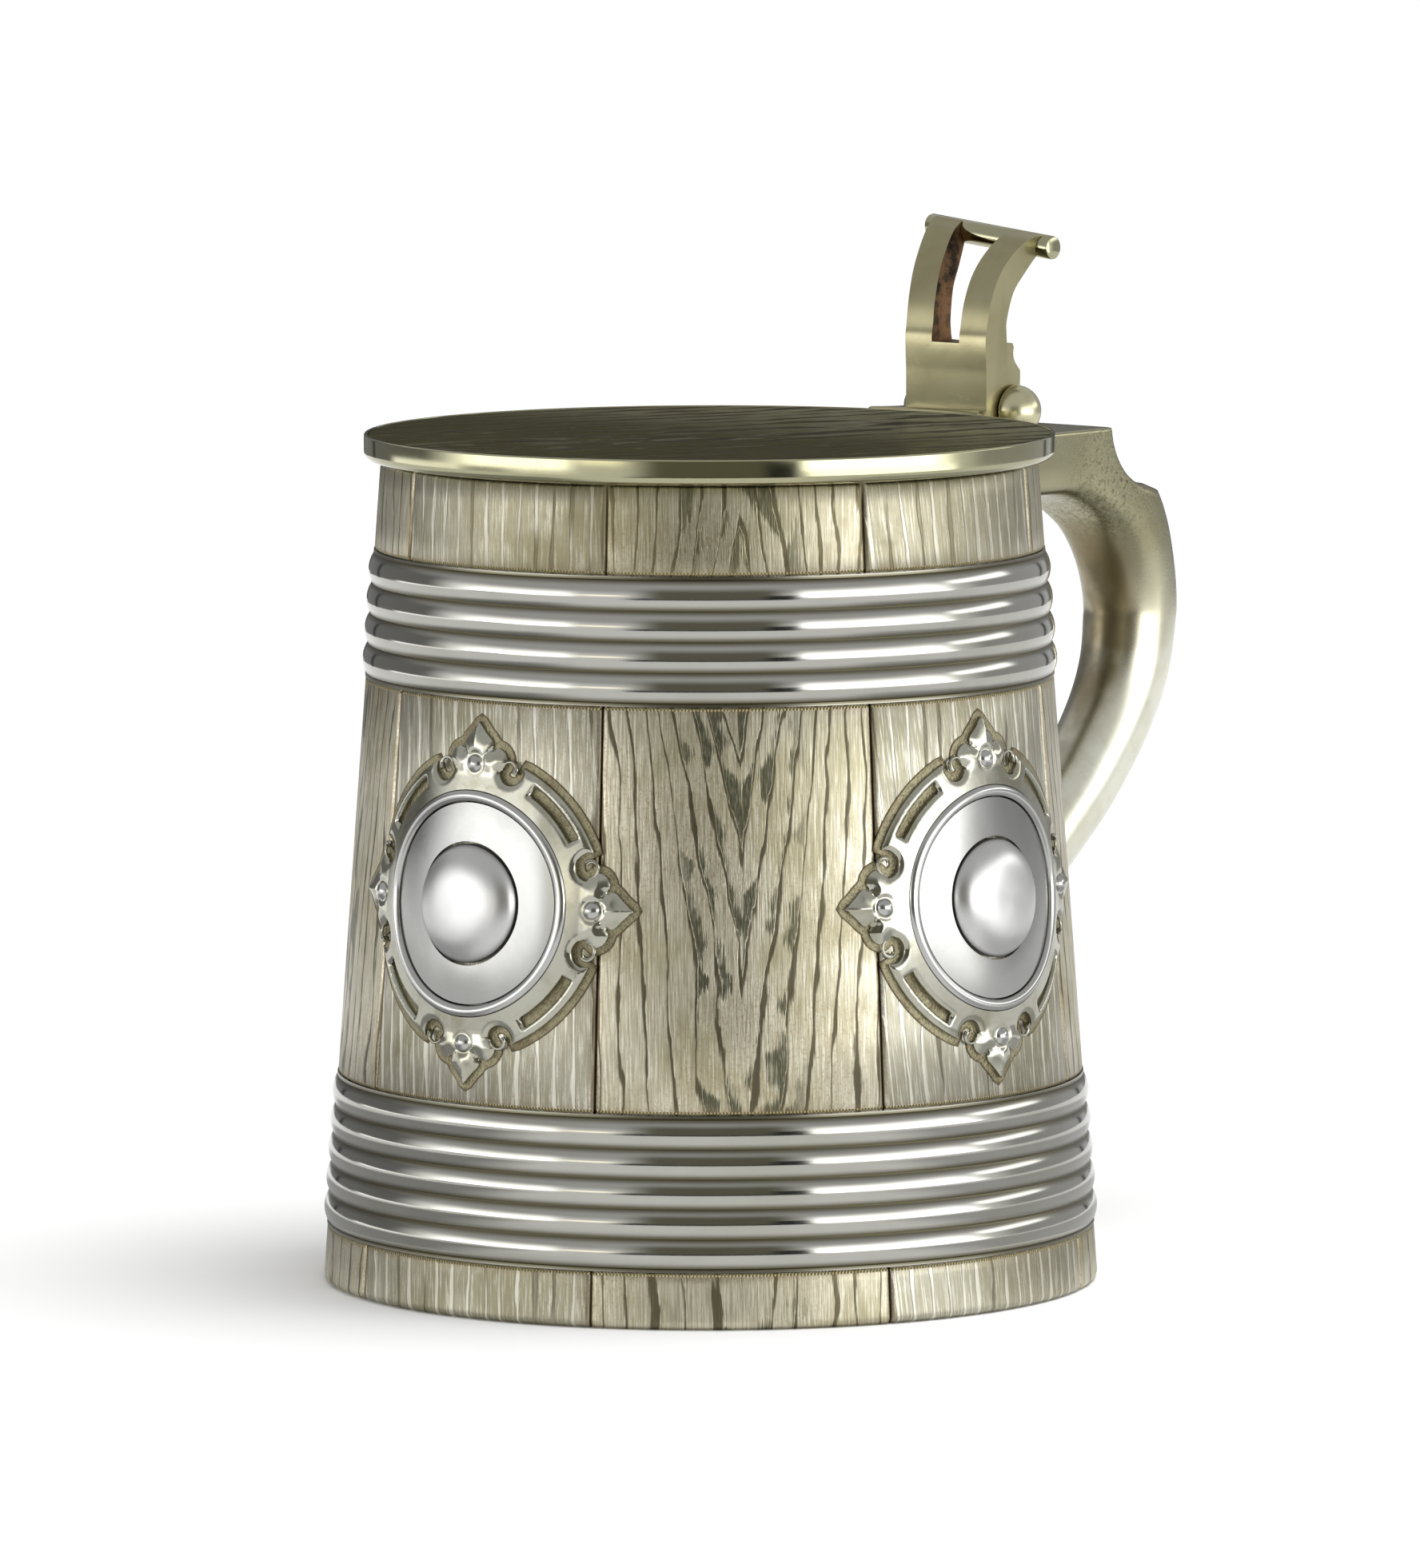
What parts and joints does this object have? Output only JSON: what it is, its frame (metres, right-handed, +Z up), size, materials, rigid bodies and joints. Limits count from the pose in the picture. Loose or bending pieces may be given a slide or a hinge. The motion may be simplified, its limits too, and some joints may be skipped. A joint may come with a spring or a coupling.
{
  "type": "tankard",
  "caption": "Covered metal tankard like a small oak cask, with reeded hoops, round strapwork bosses, a tubular handle and a flat hinged lid raised by a forked thumbpiece.",
  "frame": {"origin": "centre of the round underside that the tankard stands on", "axes": "+Z up through the lid, +X towards the handle, +Y to the left seen from the handle side, with the hinge axis along Y"},
  "size_m": [0.1796, 0.1266, 0.1676],
  "materials": {
    "chased_staves": "satin silver chased with wood grain, with a warm tarnish in the lines",
    "chased_lid": "dark gilt chased with fine straight wood grain",
    "parcel_gilt": "pale worn gilding on silver, satin with polished edges",
    "polished_silver": "polished silver",
    "satin_silver": "matt silver with fine stippling"
  },
  "bodies": {
    "cup": {"body_wall": "chased_staves", "base_plate": "parcel_gilt", "lower_hoop": "polished_silver", "upper_hoop": "polished_silver", "boss_frame_front": "parcel_gilt", "boss_ring_front": "polished_silver", "boss_dish_front": "satin_silver", "boss_dome_front": "satin_silver", "boss_bead_front_1": "polished_silver", "boss_bead_front_2": "polished_silver", "boss_bead_front_3": "polished_silver", "boss_bead_front_4": "polished_silver", "boss_frame_right": "parcel_gilt", "boss_ring_right": "polished_silver", "boss_dish_right": "satin_silver", "boss_dome_right": "satin_silver", "boss_bead_right_1": "polished_silver", "boss_bead_right_2": "polished_silver", "boss_bead_right_3": "polished_silver", "boss_bead_right_4": "polished_silver", "boss_frame_left": "parcel_gilt", "boss_ring_left": "polished_silver", "boss_dish_left": "satin_silver", "boss_dome_left": "satin_silver", "boss_bead_left_1": "polished_silver", "boss_bead_left_2": "polished_silver", "boss_bead_left_3": "polished_silver", "boss_bead_left_4": "polished_silver", "handle": "parcel_gilt", "handle_knuckle": "parcel_gilt"},
    "lid": {"lid_plate": "chased_lid", "lid_rim": "polished_silver", "lid_bezel": "parcel_gilt", "lid_tongue": "parcel_gilt", "thumbpiece": "parcel_gilt", "thumb_bar": "parcel_gilt", "hinge_pin": "parcel_gilt", "hinge_cap_near": "parcel_gilt", "hinge_cap_far": "parcel_gilt"}
  },
  "joints": [
    {"name": "lid_hinge", "type": "hinge", "parent": "cup", "child": "lid", "pos_m": [0.0668, 0, 0.1364], "axis": [0, 1, 0], "range_deg": [0, 80]}
  ]
}
